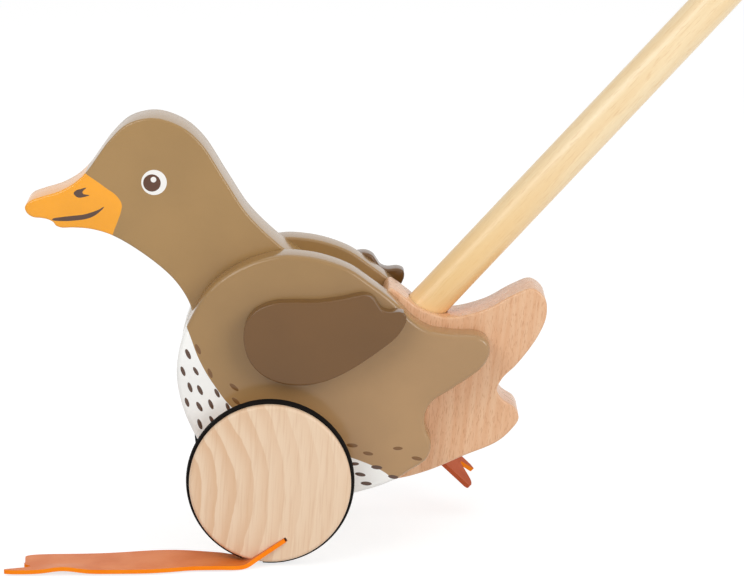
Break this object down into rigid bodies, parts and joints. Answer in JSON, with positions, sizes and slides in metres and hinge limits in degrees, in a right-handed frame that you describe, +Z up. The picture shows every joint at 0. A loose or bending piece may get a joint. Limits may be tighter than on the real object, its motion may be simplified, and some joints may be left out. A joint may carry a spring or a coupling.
{
  "type": "duck push toy",
  "caption": "Flat wooden push duck with rubber-tyred wheels, leather feet that slap the floor as it rolls, and a slanted push stick ending in a ball knob.",
  "frame": {"origin": "on the floor, straight under the middle of the axle", "axes": "the duck faces -X, +X runs to the tail and the push stick, +Y is the duck's right side and +Z is up"},
  "size_m": [0.5573, 0.1104, 0.5211],
  "materials": {
    "body_paint": "satin brown paint on wood",
    "wing_paint": "satin dark brown paint on wood",
    "beech": "clear satin lacquer on beech",
    "wheel_wood": "clear satin lacquer on pale wood",
    "stick_wood": "sanded pale dowel",
    "dowel_wood": "plain sanded wood",
    "tyre_rubber": "matte black rubber",
    "foot_leather": "smooth orange leather"
  },
  "bodies": {
    "duck_body": {"head_plate": "body_paint", "tail_plate": "beech", "left_side_panel": "body_paint", "right_side_panel": "body_paint", "left_wing": "wing_paint", "right_wing": "wing_paint", "push_stick": "stick_wood", "knob": "beech", "body_dowels": "dowel_wood", "wing_dowels": "dowel_wood"},
    "wheelset": {"axle": "dowel_wood", "left_wheel": "wheel_wood", "right_wheel": "wheel_wood", "left_tyre": "tyre_rubber", "right_tyre": "tyre_rubber", "left_spacer": "dowel_wood", "right_spacer": "dowel_wood", "left_foot_strap": "foot_leather", "right_foot_strap": "foot_leather"},
    "left_flap": {"left_foot": "foot_leather"},
    "right_flap": {"right_foot": "foot_leather"}
  },
  "joints": [
    {"name": "wheel_spin", "type": "hinge", "parent": "duck_body", "child": "wheelset", "pos_m": [0, 0, 0.032], "axis": [0, 1, 0], "continuous": true},
    {"name": "left_foot_flap", "type": "hinge", "parent": "wheelset", "child": "left_flap", "pos_m": [-0.01399, -0.038, 0.0008], "axis": [0, 1, 0], "range_deg": [-62, 38]},
    {"name": "right_foot_flap", "type": "hinge", "parent": "wheelset", "child": "right_flap", "pos_m": [0.01399, 0.038, 0.0632], "axis": [0, 1, 0], "range_deg": [-100, 0]}
  ]
}
